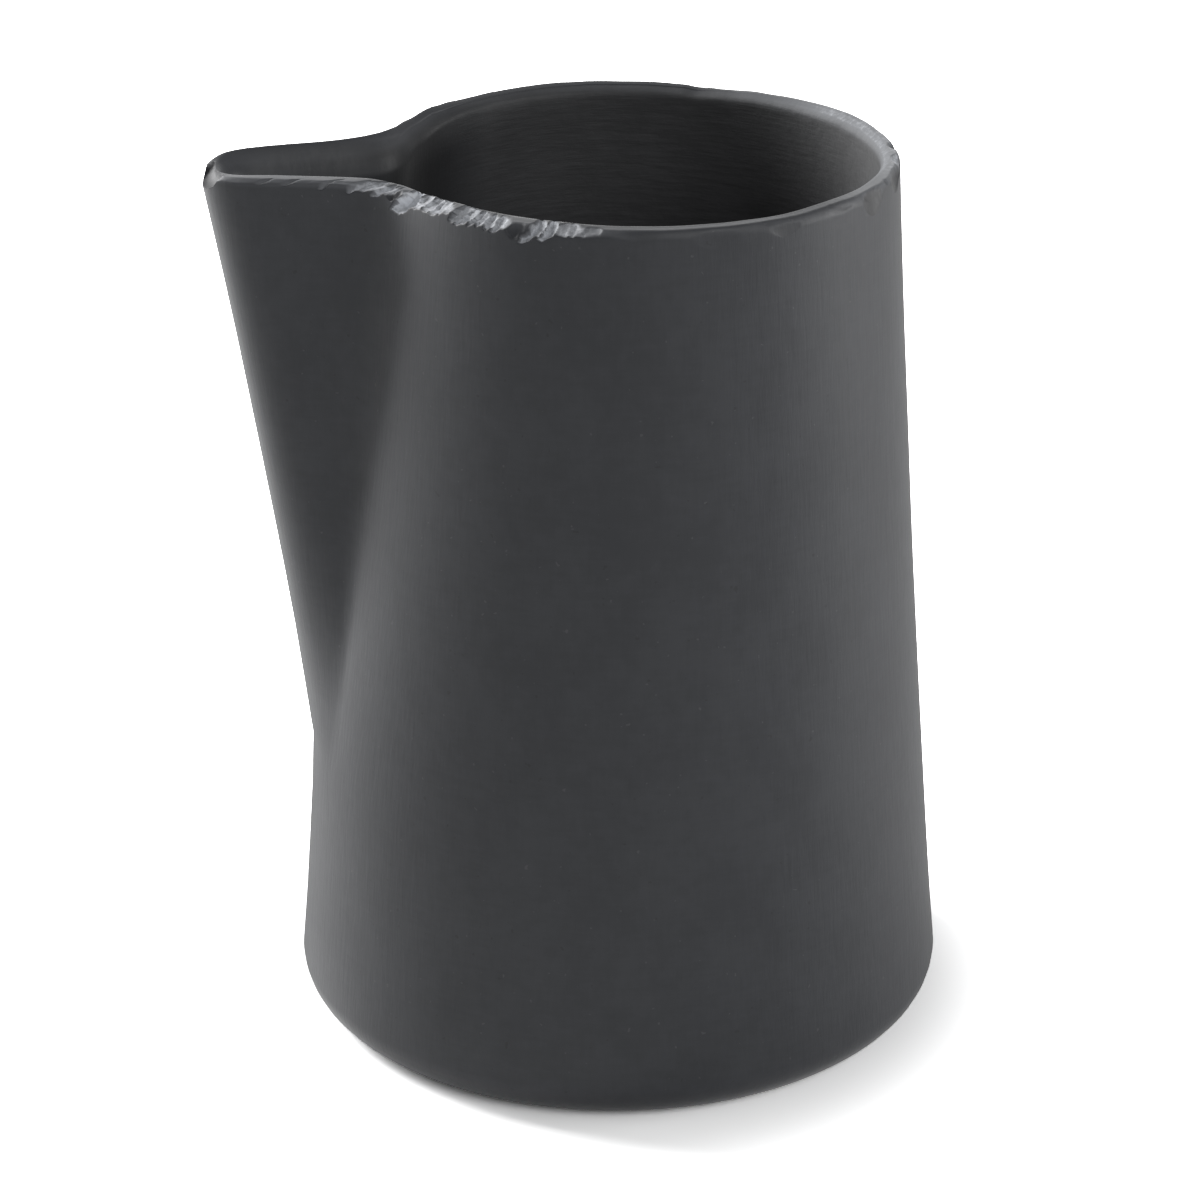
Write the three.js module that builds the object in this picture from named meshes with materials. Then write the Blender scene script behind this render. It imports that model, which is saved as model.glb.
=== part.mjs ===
// A small handleless creamer in dark, slate-like porcelain.
// It is one fired piece: a tapered round cup on a foot ring, with a pouring spout pinched out of
// its wall and a rim that is split by hand into flakes, like the edge of a roof slate.
//
// Millimetres, +Z up. The spout points along -X, and the jug stands on z = 0.

import * as THREE from "three";
import { mergeVertices } from "three/addons/utils/BufferGeometryUtils.js";

const { clamp, degToRad, lerp } = THREE.MathUtils;

// Cup
const height = 80.3;
const baseRadius = 30.2;
const rimRadius = 24.75;
const wallHollow = 0.38;
const baseWall = 2.8;
const rimWall = 1.8;
const floorThickness = 3;
const floorRound = 5;

// Foot
const footRound = 3.8;
const footRingWidth = 3;
const footRecess = 1;
const recessSlope = 0.6;

// Spout, from its root low on the wall up to the rim.
// The wall is pinched in on both sides of it and blends softly into its flanks.
const spoutRootHeight = 26;
const spoutReach = 36.05;
const spoutHollow = 0.28;
const noseRadiusAtRoot = 8.5;
const noseRadiusAtRim = 5.25;
const leastInnerNose = 0.9;
const flankAngle = degToRad(12);
const pinchDepth = 4;
const blendAtRoot = 0.5;
const blendAtRim = 6;

// Rim: a flat land between two bevels
const outerBevelWidth = 0.45;
const outerBevelHeight = 1.2;
const innerBevelWidth = 0.4;
const innerBevelHeight = 0.9;
const plainWallUnderFlakes = 1;

// Flakes split off the rim's outer edge, going round from the spout.
// Angles are in degrees from the spout's middle: where the flake lies and half its width.
// Its drop is how far down the wall it reaches, and its bite is the share of the land it takes.
const flakes = [
  { at: 18, half: 5, drop: 1.2, bite: 0.35 },
  { at: 30, half: 8, drop: 2.2, bite: 0.6 },
  { at: 42, half: 8, drop: 1.8, bite: 0.5 },
  { at: 54, half: 8, drop: 2.2, bite: 0.55 },
  { at: 67, half: 8, drop: 2.8, bite: 0.65 },
  { at: 80, half: 7, drop: 1.8, bite: 0.4 },
  { at: 97, half: 9, drop: 1.8, bite: 0.15 },
  { at: 112, half: 8, drop: 2.4, bite: 0.25 },
  { at: 128, half: 9, drop: 2, bite: 0.2 },
  { at: 146, half: 8, drop: 2.8, bite: 0.5 },
  { at: 163, half: 8, drop: 3.4, bite: 0.7 },
  { at: 180, half: 9, drop: 2.8, bite: 0.55 },
  { at: 198, half: 10, drop: 2.4, bite: 0.45 },
  { at: 219, half: 11, drop: 2, bite: 0.3 },
  { at: 243, half: 8, drop: 2.8, bite: 0.55 },
  { at: 262, half: 9, drop: 2.2, bite: 0.35 },
  { at: 283, half: 10, drop: 2.8, bite: 0.5 },
  { at: 304, half: 9, drop: 2, bite: 0.35 },
];

// Mesh
const segments = 112;
const spoutCrowding = 0.5;
const wallRows = 11;
const roundRows = 5;
const weldDistance = 1e-4;

// The outer wall is a cone that is drawn in a little at half height
function wallRadius(z) {
  const rise = z / height;
  return lerp(baseRadius, rimRadius, rise) - 4 * wallHollow * rise * (1 - rise);
}

function wallThickness(z) {
  return lerp(baseWall, rimWall, clamp(z / height, 0, 1));
}

// How far up the spout a height lies: 0 at the root, 1 at the rim
function spoutRise(z) {
  return (z - spoutRootHeight) / (height - spoutRootHeight);
}

// The spout's nose runs up from the wall at its root and leans out to its reach at the rim
function noseDistance(z) {
  const rise = spoutRise(z);
  const root = wallRadius(spoutRootHeight);
  return lerp(root, spoutReach, rise) - 4 * spoutHollow * rise * (1 - rise);
}

// The larger of two values, with a soft valley of the given width where they meet
function smoothMax(a, b, width) {
  const overlap = Math.max(width - Math.abs(a - b), 0) / width;
  return Math.max(a, b) + (overlap * overlap * width) / 4;
}

// The spout's section is a wedge: two flat flanks that close on a round nose.
// This is its distance from the jug's axis, at an angle from the spout's middle.
function wedgeRadius(angle, tip, noseRadius) {
  const side = Math.min(angle, Math.PI / 2);
  const centre = tip - noseRadius;
  const flank = noseRadius + centre * Math.sin(flankAngle);
  const tangentX = centre + noseRadius * Math.sin(flankAngle);
  const tangentY = noseRadius * Math.cos(flankAngle);
  if (side < Math.atan2(tangentY, tangentX)) {
    const across = centre * Math.sin(side);
    return centre * Math.cos(side) + Math.sqrt(noseRadius * noseRadius - across * across);
  }
  return flank / Math.sin(side + flankAngle);
}

// The angle between two directions, from 0 to a half turn
function angleFrom(angle, middle) {
  const turn = angle - middle;
  return Math.abs(Math.atan2(Math.sin(turn), Math.cos(turn)));
}

// Distance from the axis to a skin that lies inset from the outer wall.
// The cup is pinched in beside the spout, and the spout's wedge grows out of it.
function skinRadius(angle, z, inset) {
  const rise = clamp(spoutRise(z), 0, 1);
  const fromSpout = angleFrom(angle, 0);
  const pinch = pinchDepth * rise * Math.max(Math.cos(fromSpout), 0) ** 2;
  const cup = wallRadius(z) - inset - pinch;
  const nose = Math.max(lerp(noseRadiusAtRoot, noseRadiusAtRim, rise) - inset, leastInnerNose);
  const wedge = wedgeRadius(fromSpout, noseDistance(z) - inset, nose);
  return smoothMax(cup, wedge, lerp(blendAtRoot, blendAtRim, Math.sqrt(rise)));
}

// The rim's outer bevel at an angle. A flake is a shell-shaped bite, deepest in its middle.
function outerBevel(angle) {
  const land = rimWall - outerBevelWidth - innerBevelWidth;
  let drop = outerBevelHeight;
  let bite = 0;
  for (const flake of flakes) {
    const off = angleFrom(angle, degToRad(flake.at)) / degToRad(flake.half);
    const depth = Math.sqrt(Math.max(1 - off, 0));
    drop = Math.max(drop, flake.drop * depth);
    bite = Math.max(bite, flake.bite * depth);
  }
  return { drop, width: outerBevelWidth + bite * land };
}

// Rows of the jug's outline. Each gives its radius and height at an angle from the spout.
function plainRow(z, radius) {
  return () => ({ radius, z });
}

function skinRow(z, inset) {
  return (angle) => ({ radius: skinRadius(angle, z, inset), z });
}

function bevelFootRow(angle) {
  const z = height - outerBevel(angle).drop;
  return { radius: skinRadius(angle, z, 0), z };
}

function landEdgeRow(angle) {
  return { radius: skinRadius(angle, height, outerBevel(angle).width), z: height };
}

// Underside: a recess inside the flat foot ring, and the round edge up to the wall
function footRows() {
  const lean = (wallRadius(0) - wallRadius(footRound)) / footRound;
  const ringOuter = baseRadius - footRound * (lean + Math.hypot(1, lean));
  const ringInner = ringOuter - footRingWidth;
  const rows = [
    plainRow(footRecess, 0),
    plainRow(footRecess, ringInner - recessSlope),
    plainRow(0, ringInner),
    plainRow(0, ringOuter),
  ];
  for (let i = 1; i < roundRows; i++) {
    const turn = (i / roundRows) * (Math.PI / 2);
    const z = footRound * (1 - Math.cos(turn));
    rows.push(plainRow(z, ringOuter + footRound * Math.sin(turn)));
  }
  return rows;
}

function outerRows() {
  const deepest = Math.max(outerBevelHeight, ...flakes.map((flake) => flake.drop));
  const top = height - deepest - plainWallUnderFlakes;
  const rows = [];
  for (let i = 0; i <= wallRows; i++) {
    rows.push(skinRow(lerp(footRound, top, i / wallRows), 0));
  }
  return rows;
}

function rimRows() {
  return [
    bevelFootRow,
    landEdgeRow,
    skinRow(height, rimWall - innerBevelWidth),
    skinRow(height - innerBevelHeight, rimWall),
  ];
}

// Inner wall down to the round corner of the floor
function innerRows() {
  const floorTop = footRecess + floorThickness;
  const cornerTop = floorTop + floorRound;
  const cornerRadius = wallRadius(cornerTop) - wallThickness(cornerTop) - floorRound;
  const rows = [];
  for (let i = 1; i <= wallRows; i++) {
    const z = lerp(height - innerBevelHeight, cornerTop, i / wallRows);
    rows.push(skinRow(z, wallThickness(z)));
  }
  for (let i = 1; i <= roundRows; i++) {
    const turn = (i / roundRows) * (Math.PI / 2);
    const z = cornerTop - floorRound * Math.sin(turn);
    rows.push(plainRow(z, cornerRadius + floorRound * Math.cos(turn)));
  }
  rows.push(plainRow(floorTop, 0));
  return rows;
}

// A lathe turns the outline at the jug's back, and its points then move to their true section.
// The lathe's even steps are drawn together towards the spout, where the wall bends most.
function jugGeometry() {
  const rows = [...footRows(), ...outerRows(), ...rimRows(), ...innerRows()];
  const outline = rows.map((row) => new THREE.Vector2(row(Math.PI).radius, row(Math.PI).z));
  const geometry = new THREE.LatheGeometry(outline, segments);
  const position = geometry.attributes.position;
  for (let i = 0; i <= segments; i++) {
    const even = (i / segments) * 2 * Math.PI;
    const angle = even - spoutCrowding * Math.sin(even);
    rows.forEach((row, j) => {
      const { radius, z } = row(angle);
      const x = -radius * Math.cos(angle);
      const y = -radius * Math.sin(angle);
      position.setXYZ(i * rows.length + j, x, y, z);
    });
  }
  geometry.deleteAttribute("normal");
  geometry.deleteAttribute("uv");
  const closed = mergeVertices(geometry, weldDistance);
  closed.computeVertexNormals();
  return closed;
}

const darkPorcelain = new THREE.MeshStandardMaterial({
  color: new THREE.Color("#4a4c4f"),
  roughness: 0.72,
  metalness: 0,
});

const jug = new THREE.Mesh(jugGeometry(), darkPorcelain);
jug.name = "jug_body";

// The origin is the middle of the jug's box, at the table
const middle = new THREE.Box3().setFromObject(jug).getCenter(new THREE.Vector3());
jug.position.set(-middle.x, -middle.y, 0);

const creamer = new THREE.Group();
creamer.add(jug);

export default creamer;
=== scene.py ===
# %% [markdown]
# # A slate-dark porcelain creamer
#
# This small jug is one piece of fired clay. It is cast thick-walled, the spout is pinched out of
# the soft wall between two fingers, and the rim is then split by hand, so that it breaks in
# flakes like the edge of a roof slate. It is left unglazed: a matt, very dark grey skin.
#
# The lesson builds it the same way: a turned cup, a pinch, and then more than a hundred small
# breaks along the rim. The measured solid of the jug is loaded first, and everything is made
# inside it.

# %% Load the frame
import bisect
import math
import random

import bmesh
import bpy
from mathutils import Matrix, Vector, noise


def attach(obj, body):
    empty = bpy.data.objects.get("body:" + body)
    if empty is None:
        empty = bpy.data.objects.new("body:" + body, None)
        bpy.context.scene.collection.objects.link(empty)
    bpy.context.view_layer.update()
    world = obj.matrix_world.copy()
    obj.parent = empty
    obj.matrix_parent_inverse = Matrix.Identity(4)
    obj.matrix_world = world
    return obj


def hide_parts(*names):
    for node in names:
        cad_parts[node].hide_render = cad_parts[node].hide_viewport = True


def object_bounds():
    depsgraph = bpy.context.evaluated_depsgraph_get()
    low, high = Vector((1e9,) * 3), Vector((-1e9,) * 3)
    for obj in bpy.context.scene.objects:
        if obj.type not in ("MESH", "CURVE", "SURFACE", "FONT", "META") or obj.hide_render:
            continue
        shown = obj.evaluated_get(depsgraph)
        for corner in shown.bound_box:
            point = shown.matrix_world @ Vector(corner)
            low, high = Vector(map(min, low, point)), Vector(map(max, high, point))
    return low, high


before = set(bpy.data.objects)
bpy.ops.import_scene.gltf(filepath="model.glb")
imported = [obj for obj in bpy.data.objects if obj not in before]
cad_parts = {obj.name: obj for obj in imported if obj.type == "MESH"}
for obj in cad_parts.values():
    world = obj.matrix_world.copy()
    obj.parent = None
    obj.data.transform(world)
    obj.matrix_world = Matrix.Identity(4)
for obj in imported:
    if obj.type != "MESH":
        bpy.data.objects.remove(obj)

cad_low, cad_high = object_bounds()
print("solid jug, metres:", tuple(cad_low), tuple(cad_high))

# %% [markdown]
# ## Sizes
#
# A potter thinks in millimetres, so the jug is shaped in millimetres and made metres at the very
# end. The height and the place of the cup's axis come from the measured solid. The cup is as wide
# at its foot as the solid is deep, and the spout takes up the rest of the length.

# %% Sizes in millimetres
mm = 0.001
height = cad_high.z / mm
cup_centre_x = (cad_high.x - cad_high.y) / mm

base_radius = 30.2
rim_radius = 24.75
wall_hollow = 0.38
base_wall = 2.8
rim_wall = 1.8
floor_thickness = 3
floor_round = 5

foot_round = 3.8
foot_ring_width = 3
foot_recess = 1
recess_slope = 0.6

spout_root_height = 26
spout_reach = 36.05
spout_hollow = 0.28
nose_radius_at_root = 8.5
nose_radius_at_rim = 5.25
least_inner_nose = 0.9
flank_angle = math.radians(12)
pinch_depth = 4
blend_at_root = 0.5
blend_at_rim = 6

print("height", round(height, 2), "cup axis at x", round(cup_centre_x, 2))

# %% [markdown]
# ## The form of the wall
#
# The cup's outer wall is a cone that is drawn in a little half way up. The spout is a wedge that
# leans out of it, with two flat flanks and a round nose. Where two forms meet in clay there is
# never a sharp corner, and a smooth maximum gives that soft valley: it takes the larger of two
# values and rounds the place where they change over.

# %% Wall and spout
def mix(a, b, share):
    """The value at a share of the way from a to b."""
    return a + (b - a) * share


def clamp(value):
    """The value held between 0 and 1."""
    return max(0.0, min(1.0, value))


def bow(depth, share):
    """A hollow that is deepest half way along and runs out at both ends."""
    return 4 * depth * share * (1 - share)


def wall_radius(z):
    rise = z / height
    return mix(base_radius, rim_radius, rise) - bow(wall_hollow, rise)


def wall_thickness(z):
    return mix(base_wall, rim_wall, clamp(z / height))


def inner_radius(z):
    return wall_radius(z) - wall_thickness(z)


def spout_rise(z):
    """How far up the spout a height lies: 0 at its root, 1 at the rim."""
    return (z - spout_root_height) / (height - spout_root_height)


def nose_distance(z):
    """Distance from the axis to the front of the spout."""
    rise = spout_rise(z)
    root = wall_radius(spout_root_height)
    return mix(root, spout_reach, rise) - bow(spout_hollow, rise)


def smooth_max(a, b, width):
    """The larger of two values, with a soft valley as wide as given where they meet."""
    overlap = max(width - abs(a - b), 0) / width
    return max(a, b) + overlap * overlap * width / 4


def wedge_radius(angle, tip, nose_radius):
    """Distance from the axis to the wedge, at an angle from the middle of the spout."""
    side = min(angle, math.pi / 2)
    centre = tip - nose_radius
    tangent_x = centre + nose_radius * math.sin(flank_angle)
    tangent_y = nose_radius * math.cos(flank_angle)
    if side < math.atan2(tangent_y, tangent_x):
        across = centre * math.sin(side)
        return centre * math.cos(side) + math.sqrt(nose_radius**2 - across**2)
    return (nose_radius + centre * math.sin(flank_angle)) / math.sin(side + flank_angle)


def away_from_spout(angle):
    """How far an angle is from the middle of the spout, either way round."""
    return abs(math.remainder(angle, math.tau))


def skin_radius(angle, z, inset):
    """Distance from the axis to a skin that lies inset from the outer wall."""
    rise = clamp(spout_rise(z))
    from_spout = away_from_spout(angle)
    pinch = pinch_depth * rise * max(math.cos(from_spout), 0) ** 2
    cup = wall_radius(z) - inset - pinch
    nose = max(mix(nose_radius_at_root, nose_radius_at_rim, rise) - inset, least_inner_nose)
    wedge = wedge_radius(from_spout, nose_distance(z) - inset, nose)
    return smooth_max(cup, wedge, mix(blend_at_root, blend_at_rim, math.sqrt(rise)))


print("spout lip at", round(skin_radius(0, height, 0), 2), "from the axis")

# %% [markdown]
# ## Turning the cup
#
# A cup could be built from a cylinder with loop cuts, but a turned outline is closer to how a
# mould is made: a line is drawn down the outside, over the rim and down the inside, and spun about
# the axis. The rows lie close together at the rim, because the breaks will need them there, and
# far apart on the plain wall.

# %% Rows of the outline
flat_rows = 3
slope_rows = 2
round_rows = 8
wall_rows = 13
rim_zone = 4.6
rim_rows = 7
break_zone = 2.4
break_rows = 22
land_rows = 12
inner_rim_zone = 4.5
inner_rim_rows = 15


def line(start, end, steps):
    """Points from start towards end, without the end itself."""
    return [start.lerp(end, step / steps) for step in range(steps)]


def wall_line(start, end, steps, radius):
    """Points on a wall from one height towards another, each as far out as radius says."""
    heights = [mix(start, end, step / steps) for step in range(steps)]
    return [Vector((radius(z), z)) for z in heights]


def quarter(centre, radius, start, steps):
    """Points on a quarter circle that turns anticlockwise from the start angle."""
    points = []
    for step in range(steps):
        angle = start + math.pi / 2 * step / steps
        points.append(centre + radius * Vector((math.cos(angle), math.sin(angle))))
    return points


# %% Outline of the cup at its back
def cup_outline():
    """Points from the middle of the underside, up the wall, over the rim and down inside."""
    lean = (wall_radius(0) - wall_radius(foot_round)) / foot_round
    ring_outer = base_radius - foot_round * (lean + math.hypot(1, lean))
    ring_inner = ring_outer - foot_ring_width
    floor_top = foot_recess + floor_thickness
    corner_top = floor_top + floor_round
    corner_radius = inner_radius(corner_top) - floor_round
    wall_top = height - rim_zone
    break_low = height - break_zone
    inner_top = height - inner_rim_zone

    recess_edge = Vector((ring_inner - recess_slope, foot_recess))
    ring_inside = Vector((ring_inner, 0))
    ring_outside = Vector((ring_outer, 0))
    round_centre = Vector((ring_outer, foot_round))
    rim_outside = Vector((rim_radius, height))
    rim_inside = Vector((rim_radius - rim_wall, height))

    points = line(Vector((0, foot_recess)), recess_edge, flat_rows)
    points += line(recess_edge, ring_inside, slope_rows)
    points += line(ring_inside, ring_outside, flat_rows)
    points += quarter(round_centre, foot_round, -math.pi / 2, round_rows)
    points += wall_line(foot_round, wall_top, wall_rows, wall_radius)
    points += wall_line(wall_top, break_low, rim_rows, wall_radius)
    points += wall_line(break_low, height, break_rows, wall_radius)
    points += line(rim_outside, rim_inside, land_rows)
    points += wall_line(height, inner_top, inner_rim_rows, inner_radius)
    points += wall_line(inner_top, corner_top, wall_rows, inner_radius)
    for row in range(round_rows):
        angle = math.pi / 2 * row / round_rows
        out = corner_radius + floor_round * math.cos(angle)
        points.append(Vector((out, corner_top - floor_round * math.sin(angle))))
    points += line(Vector((corner_radius, floor_top)), Vector((0, floor_top)), flat_rows)
    points.append(Vector((0, floor_top)))
    return points


outline = cup_outline()
print("outline:", len(outline), "points")

# %% [markdown]
# One spin in many steps would take long, because each step goes over all that is there already.
# So only a short arc is spun. Then it is copied and turned on by its own width, which doubles it,
# until the turn is full, and the seams are merged.
#
# The points also get three empty shares: how pale they are as split faces, which is partly painted
# highlight, how far inside the cup they lie, and how much painted shade they take. The steps below
# fill them in, and the finish reads them.

# %% Spin the outline
turn_steps = 896
turn_doublings = 4
weld_distance = 1e-4
arc = math.tau / 2**turn_doublings

jug = bmesh.new()
split_and_highlight_layer = jug.verts.layers.float.new("split_and_highlight")
inside_layer = jug.verts.layers.float.new("inside")
painted_shade_layer = jug.verts.layers.float.new("painted_shade")
outline_verts = [jug.verts.new((point.x, 0, point.y)) for point in outline]
outline_edges = [jug.edges.new(pair) for pair in zip(outline_verts, outline_verts[1:])]
bmesh.ops.spin(
    jug,
    geom=outline_verts + outline_edges,
    cent=(0, 0, 0),
    axis=(0, 0, 1),
    angle=arc,
    steps=turn_steps // 2**turn_doublings,
    use_merge=False,
)
for doubling in range(turn_doublings):
    copied = bmesh.ops.duplicate(jug, geom=jug.verts[:] + jug.edges[:] + jug.faces[:])["geom"]
    bmesh.ops.rotate(
        jug,
        verts=[item for item in copied if isinstance(item, bmesh.types.BMVert)],
        cent=(0, 0, 0),
        matrix=Matrix.Rotation(arc * 2**doubling, 3, "Z"),
    )
bmesh.ops.remove_doubles(jug, verts=jug.verts, dist=weld_distance)
bmesh.ops.recalc_face_normals(jug, faces=jug.faces)
print("turned cup:", len(outline), "rows,", len(jug.faces), "faces")

# %% [markdown]
# ## Pinching the spout
#
# The turned cup is plain all round. Each of its points knows how far it lies inside the outer
# wall, so it can be moved out or in to where the pinched wall is at its angle and height. A
# lattice or a sculpted drag could do this too, but the formula keeps the wall's thickness true
# all the way to the lip.
#
# The turned steps are even, and the pinched rim is not: its spout is long, and the side towards
# the camera will be broken into small teeth. So the steps are shared out by the length of the
# rim, and they lie closer together where the teeth will be.

# %% Share out the steps round the rim
def cup_angle(point):
    """Angle round the axis from the middle of the spout, which points along -X."""
    return math.atan2(-point.y, -point.x) % math.tau


def place(angle, radius, z):
    """The point at an angle from the spout, a distance from the axis and a height."""
    return Vector((-radius * math.cos(angle), -radius * math.sin(angle), z))


close_start = 12
close_end = 90
closeness = 2.2
rim_samples = 1440
rim_lengths = [0.0]
step_shares = [0.0]
for sample in range(rim_samples):
    start_angle = math.tau * sample / rim_samples
    end_angle = math.tau * (sample + 1) / rim_samples
    start_point = place(start_angle, skin_radius(start_angle, height, 0), 0)
    end_point = place(end_angle, skin_radius(end_angle, height, 0), 0)
    length = (end_point - start_point).length
    close = close_start < math.degrees(start_angle) < close_end
    rim_lengths.append(rim_lengths[-1] + length)
    step_shares.append(step_shares[-1] + length * (closeness if close else 1))
rim_length = rim_lengths[-1]


def rim_position(angle):
    """Distance along the rim from the spout's middle to an angle."""
    sample = (angle % math.tau) / math.tau * rim_samples
    index = min(int(sample), rim_samples - 1)
    return mix(rim_lengths[index], rim_lengths[index + 1], sample - index)


def shared_angle(even):
    """Where a step of the even turn goes on the rim."""
    share = even / math.tau * step_shares[-1]
    index = min(bisect.bisect_right(step_shares, share), rim_samples) - 1
    part = (share - step_shares[index]) / (step_shares[index + 1] - step_shares[index])
    return math.tau * (index + part) / rim_samples


print("rim is", round(rim_length, 1), "mm round")

# %% Pinch the spout
shaped_below_root = 8
shaped_from = spout_root_height - shaped_below_root
axis_radius = 1e-3
hair = 0.01
rim_points = []
for vert in jug.verts:
    radius = math.hypot(vert.co.x, vert.co.y)
    if radius < axis_radius:
        continue
    angle = shared_angle(cup_angle(vert.co))
    z = vert.co.z
    inset = wall_radius(z) - radius
    if z > height - rim_zone - hair:
        rim_points.append((vert, angle, inset, height - z))
    if z > shaped_from:
        radius = skin_radius(angle, z, inset)
    vert.co = place(angle, radius, z)
print("points near the rim:", len(rim_points))

# %% [markdown]
# ## Splitting the rim
#
# A blow on the rim takes off a flake: a shallow bowl-shaped scar that is deepest in its middle
# and ends in sharp ridges against its neighbours. Cutting over a hundred bowls with booleans
# would be slow and fragile. Instead the rim is laid out straight, as if unrolled: along it, into
# the wall, and down. In that straight bar a scar is a simple ellipsoid over the corner, and a
# point that falls inside it is pushed out onto its surface. The points then go back to their
# places on the curved rim.
#
# Two pushes are enough for all of it. One hollows a corner out, as a break does. The other eases a
# corner, as a wet sponge or years of washing up do.

# %% Two ways to change a corner
tiny = 1e-6


def hollow_corner(across, down, width, drop, flat, taper):
    """Push a point out of a bowl over the corner, and say how far it moved.

    The bowl meets the rim's top at the width and its side at the drop. The larger flat is, the
    nearer the bowl comes to a plane. The taper closes the bowl towards its two ends.
    """
    reach = (1 + flat) ** 2 + flat**2 - taper * (1 + 2 * flat)
    corner = 2 * flat**2
    scaled = Vector((across / width + flat, down / drop + flat))
    if reach <= corner or scaled.length_squared >= reach or scaled.length < tiny:
        return across, down, 0.0
    scaled *= math.sqrt(reach) / scaled.length
    new_across = (scaled.x - flat) * width
    new_down = (scaled.y - flat) * drop
    return new_across, new_down, math.hypot(new_across - across, new_down - down)


def ease_corner(across, down, width, drop, roundness):
    """Push a point in under a rounded corner. A roundness of 1 is a flat bevel, 2 is round."""
    left = 1 - across / width
    under = 1 - down / drop
    if left <= 0 or under <= 0:
        return across, down
    reach = (left**roundness + under**roundness) ** (1 / roundness)
    if reach <= 1:
        return across, down
    return (1 - left / reach) * width, (1 - under / reach) * drop


# %% Values that change round the rim
def ease(share):
    """The share with a gentle start and end."""
    return share * share * (3 - 2 * share)


def eased_between(keys, angle):
    """Values that pass gently from key to key round the rim. A key starts with its degrees."""
    degrees = math.degrees(angle % math.tau)
    for first, second in zip(keys, keys[1:]):
        if degrees <= second[0]:
            share = ease((degrees - first[0]) / (second[0] - first[0]))
            return [mix(a, b, share) for a, b in zip(first[1:], second[1:])]
    return keys[-1][1:]


# %% [markdown]
# The scars on the side towards the camera are listed one by one, because they are what the eye
# goes to. Each is given by its angle from the spout, its half length, how much of the wall it
# takes, how far it drops, how flat it is and how fresh.
#
# A fresh scar is pale and rough, and its freshness is about 1. The cleanest break is above 1 and
# the whitest. That paleness is partly a painted highlight where light catches the facets. At 0 a
# scar looks like the wall. Below 0 it is smoother than a fresh scar and painted darker than the
# wall, as painted shade in its hollow.

# %% A scar
class Scar:
    """A bite out of the rim's outer corner.

    Its lower end lies towards the spout by its slant, and a lean of 1 makes it deepest at its end
    towards the spout, so that its floor faces that way.
    """

    def __init__(self, degrees, half_length, width, drop, flat, fresh, slant=0.0, lean=0.0):
        self.along = rim_position(math.radians(degrees))
        self.half_length = half_length
        self.width = width
        self.drop = drop
        self.flat = flat
        self.fresh = fresh
        self.slant = slant
        self.lean = lean

    def reach(self):
        return self.half_length + abs(self.slant) * self.drop

    def push(self, along, inset, depth):
        off = math.remainder(along + self.slant * depth - self.along, rim_length)
        off /= self.half_length
        if abs(off) >= 1:
            return inset, depth, 0.0
        taper = ((off + self.lean) / (1 + abs(self.lean))) ** 2
        return hollow_corner(inset, depth, self.width, self.drop, self.flat, taper)


# %% Scars listed one by one: degrees, half length, width, drop, flatness, freshness, slant, lean
spout_scars = [
    Scar(1.2, 3.1, 1.5, 1.7, 0.0, -0.35),
    Scar(9.6, 0.4, 0.6, 0.5, 0.5, 0.4),
    Scar(11.3, 0.5, 0.6, 0.55, 0.5, 0.4, 0.3),
    Scar(14.3, 0.35, 0.9, 0.8, 0.5, 0.7, 0.3, 0.5),
]
near_scars = [
    Scar(17.4, 0.5, 1.2, 0.95, 1.0, 1.0, 0.3, 0.8),
    Scar(19.4, 0.8, 1.4, 0.6, 1.5, 0.9, 0.4, 0.5),
    Scar(22.4, 0.6, 1.3, 0.95, 1.0, 1.0, 0.5, 0.8),
    Scar(25.6, 0.7, 0.7, 1.0, 0.5, 0.0, 0.3),
    Scar(31.6, 1.6, 2.1, 1.9, 3.0, 1.6, 0.5, 0.5),
    Scar(37.0, 1.0, 1.9, 0.95, 2.5, 0.95, 0.6, 0.5),
    Scar(40.6, 0.9, 2.0, 0.85, 2.5, 1.0, 0.6, 0.5),
    Scar(44.0, 1.0, 1.9, 0.9, 2.5, 0.95, 0.7, 0.5),
    Scar(50.0, 0.8, 2.0, 0.95, 2.5, 1.0, 0.6, 0.5),
    Scar(52.4, 0.7, 2.0, 1.1, 2.0, 1.0, 0.8, 0.7),
    Scar(54.6, 0.45, 1.5, 0.95, 1.0, 1.0, 0.5, 1.0),
    Scar(56.5, 0.4, 1.4, 0.85, 1.0, 1.0, 0.4, 1.0),
    Scar(58.4, 0.4, 1.4, 0.95, 1.0, 1.0, 0.4, 1.0),
    Scar(60.4, 0.45, 1.4, 1.0, 1.0, 1.0, 0.5, 1.0),
    Scar(64.6, 1.3, 0.4, 1.3, 1.0, 0.0, 0.3),
    Scar(69.0, 0.7, 1.8, 1.5, 2.0, 1.0, 0.9, 0.6),
    Scar(71.6, 0.6, 1.8, 1.1, 2.0, 1.0, 0.6, 0.5),
    Scar(70.6, 0.3, 0.6, 1.2, 0.3, 0.0, 0.3),
    Scar(75.0, 1.8, 1.5, 0.6, 2.5, 0.8, 0.3),
    Scar(79.0, 1.5, 1.0, 0.45, 1.5, 0.6, 0.3),
]
side_scars = [
    Scar(103.0, 2.6, 0.18, 1.8, 3.0, 0.0),
    Scar(118.0, 2.2, 0.2, 1.6, 3.0, -0.15),
    Scar(134.0, 2.0, 0.3, 0.9, 3.0, -0.3),
    Scar(145.2, 2.4, 0.4, 2.4, 3.0, -0.8),
    Scar(160.5, 2.4, 0.42, 2.0, 3.0, -0.5, 0.2),
    Scar(169.5, 1.8, 0.9, 1.0, 2.5, 0.9),
    Scar(179.5, 1.3, 0.8, 0.9, 1.5, -0.1),
]
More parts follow.
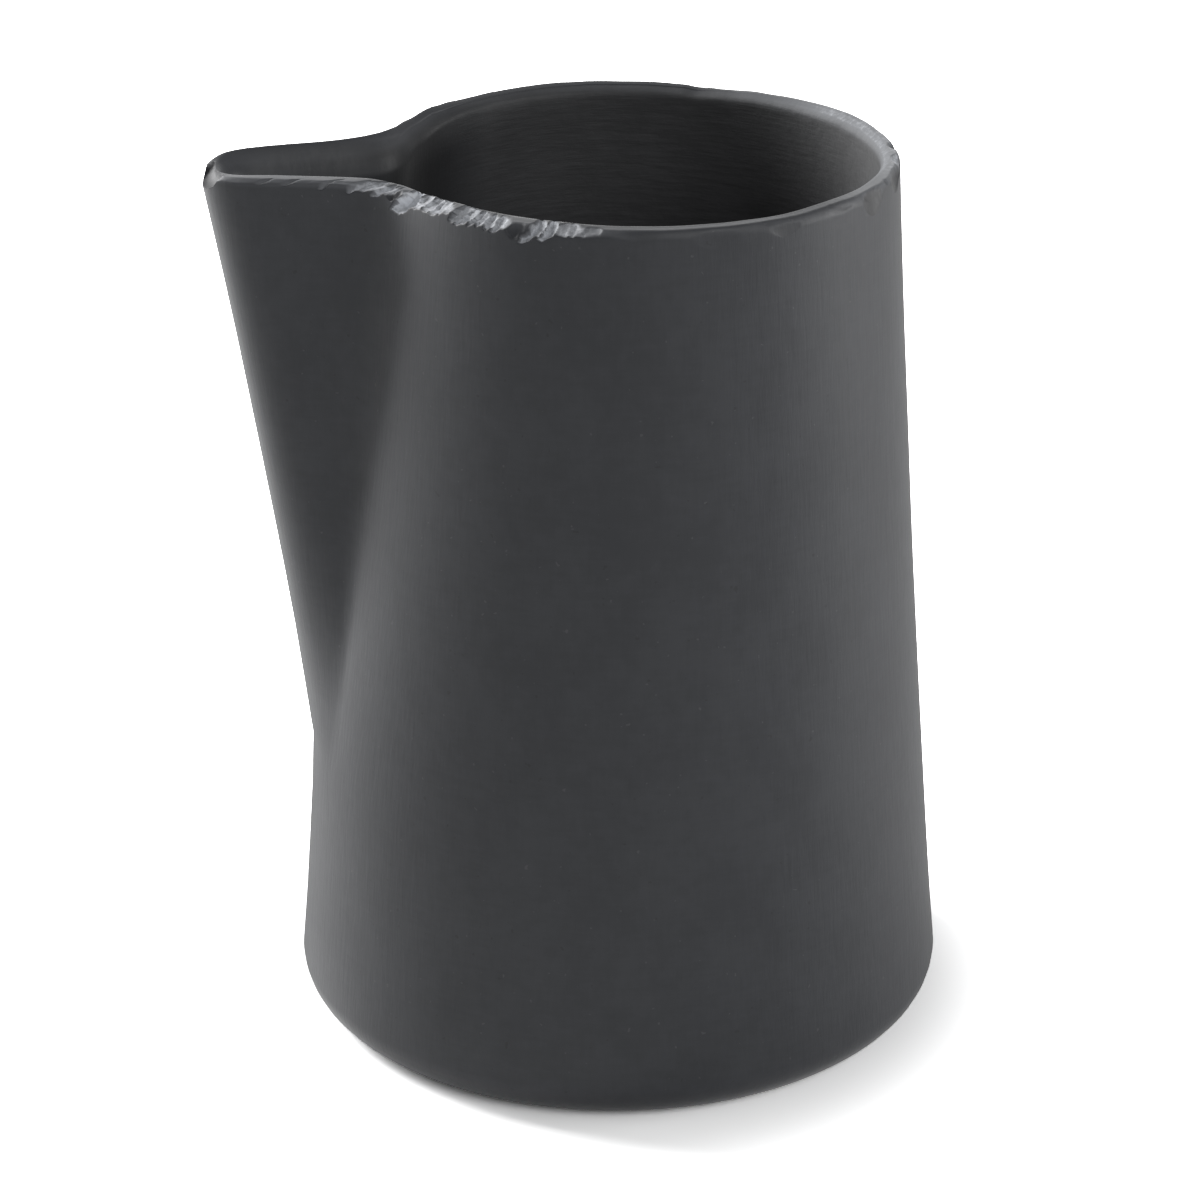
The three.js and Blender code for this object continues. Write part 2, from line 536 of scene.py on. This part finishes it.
back_scars = [
    Scar(197.0, 2.6, 0.3, 0.9, 2.0, 0.1),
    Scar(218.0, 2.4, 0.3, 1.0, 1.5, 0.1),
    Scar(240.0, 1.5, 0.35, 0.7, 1.5, 0.2),
    Scar(246.0, 1.6, 0.3, 0.9, 1.5, 0.2),
    Scar(271.0, 3.0, 0.25, 1.1, 2.0, 0.0),
    Scar(284.0, 2.5, 0.3, 1.2, 1.5, 0.1),
    Scar(296.0, 2.6, 0.25, 1.0, 1.6, 0.1),
    Scar(321.0, 2.2, 0.2, 0.7, 1.6, 0.1),
]
placed_scars = spout_scars + near_scars + side_scars + back_scars
print(len(placed_scars), "scars placed by hand")

# %% Small scars at random
chip_flatness = (0.6, 1.6)
chance = 3


def small_scar(degrees, lengths, widths, drops, fresh, slants=(0.0, 0.0), leans=(0.0, 0.0)):
    """A scar whose values are drawn from the ranges."""
    return Scar(
        random.uniform(*degrees),
        random.uniform(*lengths),
        random.uniform(*widths),
        random.uniform(*drops),
        random.uniform(*chip_flatness),
        fresh,
        random.uniform(*slants),
        random.uniform(*leans),
    )


random.seed(chance)
near_chips = ((0.15, 0.4), (0.6, 1.5), (0.4, 0.8), 0.9, (-0.3, 1.0), (-0.3, 1.0))
side_chips = ((0.3, 0.8), (0.3, 0.5), (0.2, 0.5), 0.1)
back_chips = ((0.3, 0.8), (0.1, 0.2), (0.1, 0.35), 0.1)
small_scars = []
for count, degrees, chips in [
    (30, (16, 62), near_chips),
    (8, (67, 80), near_chips),
    (16, (84, 180), side_chips),
    (24, (190, 358), back_chips),
]:
    small_scars += [small_scar(degrees, *chips) for _ in range(count)]
print(len(small_scars), "small scars")

# %% [markdown]
# A point of the rim only has to be tried against the scars near it, so the scars are sorted into
# a list for each millimetre of the rim.

# %% Sort the scars along the rim
scars = placed_scars + small_scars

scars_at = [[] for _ in range(math.ceil(rim_length))]
for scar in scars:
    first = math.floor(scar.along - scar.reach()) - 1
    last = math.ceil(scar.along + scar.reach()) + 1
    for along in range(first, last + 1):
        scars_at[along % len(scars_at)].append(scar)
print(len(scars), "scars in all")

# %% [markdown]
# Other changes run on round the whole rim. Its outer edge is worn, most of all between the scars
# on the near side. Its inner edge is rubbed down, on the far side over nearly the whole top of the
# wall. The top is pale opposite the spout, partly where it was rubbed dry and partly as a painted
# highlight where light catches the rim. The wall is thicker beside the spout on the near side, and
# the hand-cut rim isn't level.
#
# Each change is a list of keys round the rim, and its values pass gently from key to key.

# %% Worn outer edge: degrees, width, drop, freshness
outer_wear = [
    (0, 0.5, 0.5, 0.1),
    (6, 0.45, 0.5, 0.3),
    (12, 0.4, 0.35, 0.3),
    (16.5, 0.5, 0.3, 0.6),
    (18, 1.3, 0.45, 0.9),
    (24, 1.3, 0.5, 0.9),
    (25.5, 0.8, 0.25, 0.7),
    (27.5, 1.3, 0.6, 1.0),
    (46, 1.4, 0.55, 0.9),
    (47.6, 0.9, 0.2, 0.7),
    (49.2, 1.4, 0.6, 0.9),
    (61, 1.3, 0.55, 0.9),
    (63, 0.5, 0.3, 0.3),
    (66.5, 0.5, 0.3, 0.3),
    (68, 1.3, 0.6, 0.9),
    (76, 1.2, 0.5, 0.8),
    (82, 0.5, 0.5, 0.2),
    (90, 0.4, 0.8, 0.0),
    (150, 0.4, 1.0, 0.0),
    (162, 0.4, 0.7, 0.0),
    (200, 0.35, 0.5, 0.0),
    (345, 0.35, 0.5, 0.0),
    (360, 0.5, 0.5, 0.1),
]
print(len(outer_wear), "keys for the outer edge")

# %% Rubbed inner edge: degrees, width, drop
inner_wear = [
    (0, 0.7, 0.6),
    (6, 0.3, 0.25),
    (80, 0.25, 0.2),
    (110, 0.5, 0.2),
    (150, 0.5, 0.35),
    (172, 0.8, 0.8),
    (200, 1.1, 0.95),
    (236, 0.95, 0.8),
    (248, 1.6, 0.95),
    (300, 1.7, 1.0),
    (322, 1.6, 2.2),
    (332, 1.6, 3.3),
    (350, 1.5, 3.3),
    (360, 0.7, 0.6),
]
print(len(inner_wear), "keys for the inner edge")

# %% How pale the top of the rim is, rubbed and with painted highlight: degrees, share
# Painted highlight on the top of the rim, together with the paleness where it was rubbed.
rim_rub_and_highlight = [
    (0, 0.3),
    (18, 0.3),
    (60, 0.2),
    (84, 0.08),
    (130, 0.08),
    (150, 0.5),
    (165, 0.75),
    (208, 0.74),
    (228, 0.36),
    (244, 0.08),
    (356, 0.08),
    (360, 0.3),
]
print(len(rim_rub_and_highlight), "keys for the paleness")

# %% How far the rim lies under its highest point: degrees, millimetres
rim_dips = [
    (0, 0.55),
    (4, 0.4),
    (8, 0.2),
    (15, 0.2),
    (20, 0.35),
    (26, 0.4),
    (31, 0.3),
    (38, 0.05),
    (45, 0.0),
    (78, 0.0),
    (85, 0.05),
    (100, 0.15),
    (108, 0.2),
    (120, 0.3),
    (132, 0.2),
    (150, 0.35),
    (165, 0.4),
    (180, 0.45),
    (190, 0.4),
    (198, 0.28),
    (205, 0.2),
    (215, 0.28),
    (231, 0.37),
    (238, 0.5),
    (245, 0.55),
    (249, 0.36),
    (258, 0.27),
    (275, 0.2),
    (293, 0.33),
    (300, 0.38),
    (307, 0.32),
    (312, 0.2),
    (320, 0.4),
    (328, 0.3),
    (334, 0.17),
    (346, 0.17),
    (350, 0.13),
    (353, 0.2),
    (357, 0.5),
    (360, 0.55),
]
print(len(rim_dips), "keys for the height")

# %% Thicker wall: degrees, millimetres
wall_swell = [(0, 0), (36, 0), (50, 0.5), (70, 0.7), (80, 0.35), (95, 0.15), (115, 0), (360, 0)]
print(len(wall_swell), "keys for the wall")

# %% [markdown]
# Every point near the rim now goes through the same steps, each of them a short function. A small
# object carries the point through them: where it lies in the straight bar, how far it was moved,
# how fresh and how bare it has become, and how much painted shade it takes.

# %% A point of the rim
noise_radius = 25


class RimPoint:
    def __init__(self, vert, angle, inset, depth):
        self.vert = vert
        self.angle = angle
        self.inset = inset
        self.depth = depth
        self.outer_side = inset < rim_wall / 2
        self.spot = place(angle, noise_radius, depth)
        self.moved = self.fresh = self.bare = self.painted_shade = 0.0


# %% Wear the outer edge
wear_size = 3.2
wear_change = 0.4
outer_roundness = 1.5
full_split = 0.12


def wear_outer_edge(point):
    if not point.outer_side and point.depth >= hair:
        return
    width, drop, point.bare = eased_between(outer_wear, point.angle)
    spot = place(point.angle, noise_radius, 0)
    worn = 1 + wear_change * noise.noise(spot / wear_size)
    inset, depth = ease_corner(
        point.inset, point.depth, width * worn, drop * worn, outer_roundness
    )
    point.moved = math.hypot(inset - point.inset, depth - point.depth)
    point.fresh = point.bare * clamp(point.moved / full_split)
    point.inset, point.depth = inset, depth


# %% [markdown]
# A scar's outline would be too clean. So a point is shifted by a little noise before it is tried
# against the scars, and shifted back after, which makes ragged edges but leaves the wall beside
# them true.
#
# Blender's noise_vector starts from the clock unless it gets a seed. With one, the edges come out
# the same in every run.

# %% Push in the scars
wobble_size = 0.9
wobble = 0.3
ragged_size = 0.45
raggedness = 0.16
ragged_seed = 1795736628
noise.seed_set(ragged_seed)


def push_in_scars(point):
    along = rim_position(point.angle) + wobble * noise.noise(point.spot / wobble_size)
    ragged = raggedness * point.bare * noise.noise_vector(point.spot / ragged_size)
    inset = point.inset + ragged.x
    depth = point.depth + ragged.z
    for scar in scars_at[int(along) % len(scars_at)]:
        inset, depth, step = scar.push(along, inset, depth)
        if step > 0:
            share = clamp(step / full_split)
            point.moved += step
            point.fresh = mix(point.fresh, scar.fresh, share)
            # Scars with a freshness below 0 leave painted shade in their hollows.
            point.painted_shade = mix(point.painted_shade, -min(scar.fresh, 0), share)
    point.inset = inset - ragged.x
    point.depth = depth - ragged.z


# %% Roughen the fresh breaks
fracture_depth = 0.13
fracture_grain = 0.5
grain_falloff = 0.6
grain_step = 2.2
grain_octaves = 4


def as_share(swing):
    """Noise between -1 and 1, as a share between 0 and 1."""
    return 0.5 + 0.5 * swing


def roughen(point):
    if point.moved == 0:
        return
    crumbs = noise.fractal(point.spot / fracture_grain, grain_falloff, grain_step, grain_octaves)
    bite = fracture_depth * max(point.fresh, 0) * clamp(as_share(crumbs))
    point.inset = min(point.inset + bite, rim_wall)
    point.depth += bite


# %% Note how pale the point is, partly as painted highlight, and how much painted shade it takes
rub_and_highlight_on_wall = 0.7
rub_and_highlight_on_inner_bevel = 1.4


def note_finish(point):
    # Paleness of the rim's top, partly rubbed and partly painted highlight.
    (rub_and_highlight,) = eased_between(rim_rub_and_highlight, point.angle)
    rub_and_highlight *= clamp(1 - point.depth / (rub_and_highlight_on_wall if point.outer_side else rub_and_highlight_on_inner_bevel))
    point.vert[split_and_highlight_layer] = max(point.fresh, rub_and_highlight * (1 - point.painted_shade))
    point.vert[painted_shade_layer] = point.painted_shade


# %% Rub the inner edge, and go back to the curved rim
inner_roundness = 1.3


def rub_inner_edge(point):
    width, drop = eased_between(inner_wear, point.angle)
    left, point.depth = ease_corner(
        rim_wall - point.inset, point.depth, width, drop, inner_roundness
    )
    point.inset = rim_wall - left


def set_back(point):
    """Thicken the wall, lower the rim, and put the point in its place on the jug."""
    fade = 1 - point.depth / (rim_zone if point.outer_side else inner_rim_zone)
    (swell,) = eased_between(wall_swell, point.angle)
    (dip,) = eased_between(rim_dips, point.angle)
    inset = point.inset + swell * fade * clamp(point.inset / rim_wall)
    z = height - (point.depth + dip * fade)
    point.vert.co = place(point.angle, skin_radius(point.angle, z, inset), z)


# %% Break the rim
broken = 0
for values in rim_points:
    point = RimPoint(*values)
    wear_outer_edge(point)
    push_in_scars(point)
    roughen(point)
    note_finish(point)
    rub_inner_edge(point)
    set_back(point)
    if point.moved > 0:
        broken += 1
print(broken, "points broken off the rim")

# %% [markdown]
# ## The skin of the wall
#
# Cast and sponged clay is never perfectly true. A slow noise draws the outer wall in by up to a
# tenth of a millimetre, which is enough to make the light run unevenly down it. Only the lip is
# left a little fuller.
#
# The points inside the cup are noted here too, because the finish differs there. On both sides of
# the spout the inside is painted darker, as painted shade in the spout's channel.

# %% Uneven wall
unevenness = 0.11
uneven_size = 17
lip_swell = 0.12
lip_from = 62
lip_half_angle = 9


def passed(value, start, end):
    """How far a value has come on the way from start to end, from 0 to 1."""
    return clamp((value - start) / (end - start))


def uneven_draw(spot, beside_spout):
    """How far the outer wall is drawn in at a spot, given its degrees from the spout."""
    fade = passed(spot.z, foot_round, 2 * foot_round)
    draw = unevenness * as_share(noise.noise(spot / uneven_size)) * fade
    at_lip = clamp(1 - beside_spout / lip_half_angle) * passed(spot.z, lip_from, height)
    return mix(draw, -lip_swell, ease(at_lip))


# %% Inside of the cup
inside_from = rim_wall * 0.6
inside_over = rim_wall * 0.4
above_foot = foot_recess * 2
# Painted shade in the spout's channel: where it starts and ends, in degrees from the spout, and how
# dark.
spout_shade_starts = (8, 23)
spout_shade_ends = (64, 44)
paler_inside_starts = (40, 65)
spout_shade_share = 0.9


def note_inside(vert, inset, beside_spout):
    """Note how far a point lies inside, and how much painted shade it takes beside the spout."""
    hollow = clamp((inset - inside_from) / inside_over) if vert.co.z > above_foot else 0.0
    spout_shade = min(passed(beside_spout, *spout_shade_starts), passed(beside_spout, *spout_shade_ends))
    # The paler inside, partly painted light, fades out towards the spout.
    vert[inside_layer] = hollow * passed(beside_spout, *paler_inside_starts)
    vert[painted_shade_layer] = max(vert[painted_shade_layer], spout_shade_share * hollow * spout_shade)


# %% Go over all points
drawn = 0
for vert in jug.verts:
    radius = math.hypot(vert.co.x, vert.co.y)
    if radius < axis_radius:
        continue
    angle = cup_angle(vert.co)
    beside_spout = math.degrees(away_from_spout(angle))
    inset = skin_radius(angle, vert.co.z, 0) - radius
    note_inside(vert, inset, beside_spout)
    if inset < rim_wall / 2 and vert.co.z > foot_round:
        vert.co = place(angle, radius - uneven_draw(vert.co, beside_spout), vert.co.z)
        drawn += 1
print(drawn, "points of the outer wall drawn in")

# %% [markdown]
# The mesh becomes metres here, and moves to where the measured solid stands, so that the finished
# object itself can stay at the origin, unturned and unscaled.

# %% Finish the mesh
bmesh.ops.transform(
    jug,
    matrix=Matrix.Translation((cup_centre_x * mm, 0, 0)) @ Matrix.Scale(mm, 4),
    verts=jug.verts,
)
bmesh.ops.recalc_face_normals(jug, faces=jug.faces)
for face in jug.faces:
    face.smooth = True
jug_mesh = bpy.data.meshes.new("slate_jug")
jug.to_mesh(jug_mesh)
jug.free()
jug_object = bpy.data.objects.new("slate_jug", jug_mesh)
bpy.context.collection.objects.link(jug_object)
print("slate_jug:", len(jug_mesh.polygons), "faces")

# %% Hand the jug to the frame
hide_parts("jug_body")
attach(jug_object, "root")
print("slate_jug stands for jug_body and rides on root")

# %% [markdown]
# ## Shader maths in Python
#
# A finish is easier to read as an expression than as a web of nodes. This class wraps a socket, so
# that adding or multiplying two of them adds the Math node for it. Every other node comes from one
# method, which takes the node's type, its settings and what goes into its sockets.

# %% Sockets that can be reckoned with
class Wire:
    """A socket that adds and multiplies like a number."""

    def __init__(self, finish, socket):
        self.finish = finish
        self.socket = socket

    def __add__(self, other):
        return self.finish.maths("ADD", self, other)

    def __sub__(self, other):
        return self.finish.maths("SUBTRACT", self, other)

    def __rsub__(self, other):
        return self.finish.maths("SUBTRACT", other, self)

    def __mul__(self, other):
        return self.finish.maths("MULTIPLY", self, other)

    __radd__ = __add__
    __rmul__ = __mul__


class Finish:
    """The nodes of one material, or of the world."""

    def __init__(self, owner):
        owner.use_nodes = True
        self.tree = owner.node_tree
        self.tree.nodes.clear()

    def node(self, kind, settings, inputs, output=0):
        """Add a node, set it up and fill its sockets. Gives one of its outputs, if it has any."""
        made = self.tree.nodes.new(kind)
        for name, value in settings.items():
            setattr(made, name, value)
        for name, value in inputs.items():
            if isinstance(value, Wire):
                self.tree.links.new(value.socket, made.inputs[name])
            else:
                made.inputs[name].default_value = value
        if made.outputs:
            return Wire(self, made.outputs[output])
        return None

    def maths(self, operation, first, second):
        return self.node("ShaderNodeMath", {"operation": operation}, {0: first, 1: second})

    def blend(self, share, first, second):
        """One colour passing into another."""
        return self.node(
            "ShaderNodeMix", {"data_type": "RGBA"}, {0: share, 6: first, 7: second}, 2
        )

    def limits(self, value, low, high):
        """The value as a share of the way from low to high, held between 0 and 1."""
        return self.node(
            "ShaderNodeMapRange", {"interpolation_type": "SMOOTHSTEP"}, {0: value, 1: low, 2: high}
        )

    def grain(self, points, stretch, scale, detail, roughness):
        """Noise from 0 to 1 over the points. The smaller an axis's stretch, the longer its grain."""
        squeezed = self.node(
            "ShaderNodeVectorMath", {"operation": "MULTIPLY"}, {0: points, 1: stretch}
        )
        return self.node(
            "ShaderNodeTexNoise",
            {},
            {"Vector": squeezed, "Scale": scale, "Detail": detail, "Roughness": roughness},
        )


# %% [markdown]
# ## Unglazed dark porcelain
#
# The clay is stained through with oxides. What the eye reads as stone is the skin: a matt surface
# that was wiped upwards while damp, which left fine upright fibres in it, and a few pale and dark
# specks. Inside, the cup was wiped round and left to dry, which made it a little rougher, and it is
# painted a little paler there, partly for that finish and partly as painted light that stands in
# for the light in the cup. Beside the spout inside, and in some notches of the rim, it is painted
# darker, as painted shade. The split faces along the rim have no skin. They are the palest and
# roughest of all, like a fresh break in slate, and their paleness is partly a painted highlight
# where light catches the facets.

# %% Colours of the clay
skin_grey = (0.0388, 0.0411, 0.0470, 1)
skin_pale = (0.0487, 0.0514, 0.0582, 1)
# The inside colours are paler, partly for the dry wiped finish and partly as painted light that
# stands in for light in the cup.
inside_grey_and_painted_light = (0.063, 0.064, 0.067, 1)
inside_pale_and_painted_light = (0.078, 0.079, 0.083, 1)
# The split colours are partly the pale break and partly a painted highlight where light catches the
# facets and the top of the rim.
split_and_highlight_grey = (0.312, 0.324, 0.348, 1)
split_and_highlight_pale = (0.71, 0.735, 0.78, 1)
speck_pale = (0.11, 0.11, 0.115, 1)
speck_dark = (0.022, 0.022, 0.024, 1)
# Painted shade: the darker colour in some notches of the rim and beside the spout inside.
painted_shade_grey = (0.017, 0.0175, 0.019, 1)
print("skin", skin_grey[:3], "split_and_highlight", split_and_highlight_grey[:3])

# %% Shares and grains
porcelain = bpy.data.materials.new("unglazed_porcelain")
clay = Finish(porcelain)


def noted(name):
    """A share that was noted on the points of the mesh."""
    return clay.node("ShaderNodeAttribute", {"attribute_name": name}, {}, "Fac")


split_and_highlight = noted("split_and_highlight")
inside = noted("inside")
painted_shade = noted("painted_shade")

points = clay.node("ShaderNodeTexCoord", {}, {}, "Object")
fibres = clay.grain(points, stretch=(1, 1, 0.1), scale=2600, detail=5.0, roughness=0.6)
strokes = clay.grain(points, stretch=(0.12, 0.12, 1), scale=2400, detail=4.0, roughness=0.6)
clouds = clay.grain(points, stretch=(1, 1, 0.8), scale=170, detail=4.0, roughness=0.5)
mottles = clay.grain(points, stretch=(1, 1, 1), scale=700, detail=3.0, roughness=0.5)
crumbs = clay.grain(points, stretch=(1, 1, 1), scale=1900, detail=5.0, roughness=0.65)
pale_dots = clay.grain(points, stretch=(1, 1, 1), scale=1900, detail=1.0, roughness=0.4)
dark_dots = clay.grain(points, stretch=(1, 1, 1.01), scale=1600, detail=1.0, roughness=0.4)
pale_specks = clay.limits(pale_dots, low=0.765, high=0.785)
dark_specks = clay.limits(dark_dots, low=0.76, high=0.78)
print("shares and grains:", len(clay.tree.nodes), "nodes")

# %% Colour
speck_share = 0.4
skin_grain = fibres * 0.2 + strokes * 0.15 + clouds * 0.4 + mottles * 0.25
inside_grain = strokes * 0.6 + clouds * 0.4
split_grain = crumbs + split_and_highlight * 0.8 - 0.7

skin_colour = clay.blend(clay.limits(skin_grain, low=0.38, high=0.62), skin_grey, skin_pale)
skin_colour = clay.blend(pale_specks * speck_share, skin_colour, speck_pale)
skin_colour = clay.blend(dark_specks * speck_share, skin_colour, speck_dark)
inside_tone = clay.limits(inside_grain, low=0.4, high=0.64)
inside_colour_and_painted_light = clay.blend(inside_tone, inside_grey_and_painted_light, inside_pale_and_painted_light)
# Inside the cup: the paler colour, partly painted light.
skin_colour = clay.blend(inside, skin_colour, inside_colour_and_painted_light)
# Painted shade in some notches of the rim and in the spout's channel.
skin_colour = clay.blend(painted_shade, skin_colour, painted_shade_grey)
split_tone = clay.limits(split_grain, low=0.3, high=0.75)
split_and_highlight_colour = clay.blend(split_tone, split_and_highlight_grey, split_and_highlight_pale)
# Split faces and the pale rim, partly painted highlight.
colour = clay.blend(split_and_highlight, skin_colour, split_and_highlight_colour)
print("with the colour:", len(clay.tree.nodes), "nodes")

# %% Relief and dullness
fibre_height = 0.5
stroke_height = 0.2
inside_height = 1.5
crumb_height = 1.4
relief_strength = 0.35
relief_distance = 0.00012

relief = fibres * (1 - inside) * fibre_height
relief = relief + strokes * (inside * inside_height + stroke_height)
relief = relief + mottles * inside * inside_height
relief = relief + crumbs * clay.limits(split_and_highlight, low=0.68, high=1) * crumb_height
bumps = clay.node(
    "ShaderNodeBump",
    {},
    {"Strength": relief_strength, "Distance": relief_distance, "Height": relief},
)

skin_dullness = 0.48
fibre_dullness = 0.06
split_dullness = 0.15
inside_dullness = 0.15
dullness = clay.limits(fibres, low=0.3, high=0.7) * fibre_dullness
dullness = dullness + split_and_highlight * split_dullness + inside * inside_dullness + skin_dullness

# %% Dark porcelain
surface = clay.node(
    "ShaderNodeBsdfPrincipled",
    {},
    {
        "Base Color": colour,
        "Roughness": dullness,
        "IOR": 1.5,
        "Normal": bumps,
        "Sheen Weight": 0.4,
        "Sheen Roughness": 0.4,
    },
)
clay.node("ShaderNodeOutputMaterial", {}, {"Surface": surface})
jug_mesh.materials.append(porcelain)
print("unglazed porcelain:", len(clay.tree.nodes), "nodes")

# %% [markdown]
# ## A white table
#
# The jug stands on white paper that runs out of sight. The photograph is exposed for the dark jug,
# so the paper burns out to white, and only the shadow close to the foot is left. The paper does the
# same here: it is brighter to the camera than it is to the jug, and brighter still away from the
# foot. Near the foot it is painted darker, a painted shadow that widens the one the lamps cast.

# %% Table
table_size = 8
white_paper = (0.8, 0.8, 0.8, 1)
# Painted shadow: the paper is painted darker near the foot.
painted_shadow_at_foot = (2.4, 2.4, 2.4, 1)
away_from_foot = (4.4, 4.4, 4.4, 1)
shadow_from = 0.031
shadow_to = 0.043

bpy.ops.mesh.primitive_plane_add(size=table_size, location=(0, 0, 0))
table = bpy.context.object
table.name = "white_table"
paper = bpy.data.materials.new("white_paper")
sheet = Finish(paper)
seen = sheet.node("ShaderNodeLightPath", {}, {}, "Is Camera Ray")
lit = sheet.node("ShaderNodeBsdfDiffuse", {}, {"Color": white_paper})
spots = sheet.node("ShaderNodeTexCoord", {}, {}, "Object")
reach = sheet.node("ShaderNodeVectorMath", {"operation": "LENGTH"}, {0: spots}, "Value")
# Painted shadow round the foot, fading out between these distances.
clear_of_painted_shadow = sheet.limits(reach, low=shadow_from, high=shadow_to)
paper_and_painted_shadow = sheet.blend(clear_of_painted_shadow, painted_shadow_at_foot, away_from_foot)
burnt_out_and_painted_shadow = sheet.node("ShaderNodeBsdfDiffuse", {}, {"Color": paper_and_painted_shadow})
both = sheet.node("ShaderNodeMixShader", {}, {0: seen, 1: lit, 2: burnt_out_and_painted_shadow})
sheet.node("ShaderNodeOutputMaterial", {}, {"Surface": both})
table.data.materials.append(paper)
print("white paper:", len(sheet.tree.nodes), "nodes")

# %% [markdown]
# ## Light
#
# A matt dark jug is shown by the light along its sides. A tall soft lamp stands behind it on the
# left and draws a pale line down the spout and the left wall. A low one stands on the right, and a
# weak one fills the front. The white ground is white to the camera, and lights the jug faintly.

# %% World
room_light = 0.15
world = bpy.data.worlds.new("white_studio")
bpy.context.scene.world = world
room = Finish(world)
seen = room.node("ShaderNodeLightPath", {}, {}, "Is Camera Ray")
strength = seen * (1 - room_light) + room_light
ground = room.node("ShaderNodeBackground", {}, {"Color": (1, 1, 1, 1), "Strength": strength})
room.node("ShaderNodeOutputWorld", {}, {"Surface": ground})
print("white studio:", len(room.tree.nodes), "nodes")

# %% Lamps
jug_middle = Vector((0, 0, 0.04))


def soft_lamp(name, place_at, width, tall, power):
    """A rectangular lamp that faces the jug, in metres and watts."""
    light = bpy.data.lights.new(name, "AREA")
    light.shape = "RECTANGLE"
    light.size = width
    light.size_y = tall
    light.energy = power
    lamp = bpy.data.objects.new(name, light)
    lamp.location = place_at
    towards = jug_middle - Vector(place_at)
    lamp.rotation_euler = towards.to_track_quat("-Z", "Y").to_euler()
    bpy.context.collection.objects.link(lamp)
    print(name, "stands", round(towards.length, 2), "m away")


soft_lamp("left_lamp", (-0.764, 0.641, 0.505), width=0.5, tall=0.8, power=15.5)
soft_lamp("right_lamp", (1.08, 0, 0.13), width=0.5, tall=0.2, power=4.7)
soft_lamp("front_lamp", (0.509, -0.881, 0.676), width=0.7, tall=0.7, power=3.8)

# %% [markdown]
# ## Camera
#
# The photograph looks a little down on the jug from its side, with the spout to the left. A long
# lens keeps the walls nearly straight.

# %% Camera
camera_place = (-0.02837, -0.29836, 0.16404)
heading = math.radians(-5.7)
tilt = math.radians(90 - 22.83)
roll = -0.0056
lens = bpy.data.cameras.new("camera")
lens.lens = 106.64
lens.sensor_width = 36
camera = bpy.data.objects.new("camera", lens)
camera.matrix_world = (
    Matrix.Translation(camera_place)
    @ Matrix.Rotation(heading, 4, "Z")
    @ Matrix.Rotation(tilt, 4, "X")
    @ Matrix.Rotation(roll, 4, "Z")
)
bpy.context.collection.objects.link(camera)
bpy.context.scene.camera = camera
bpy.context.scene.view_settings.view_transform = "Standard"
print("camera, metres:", camera_place)
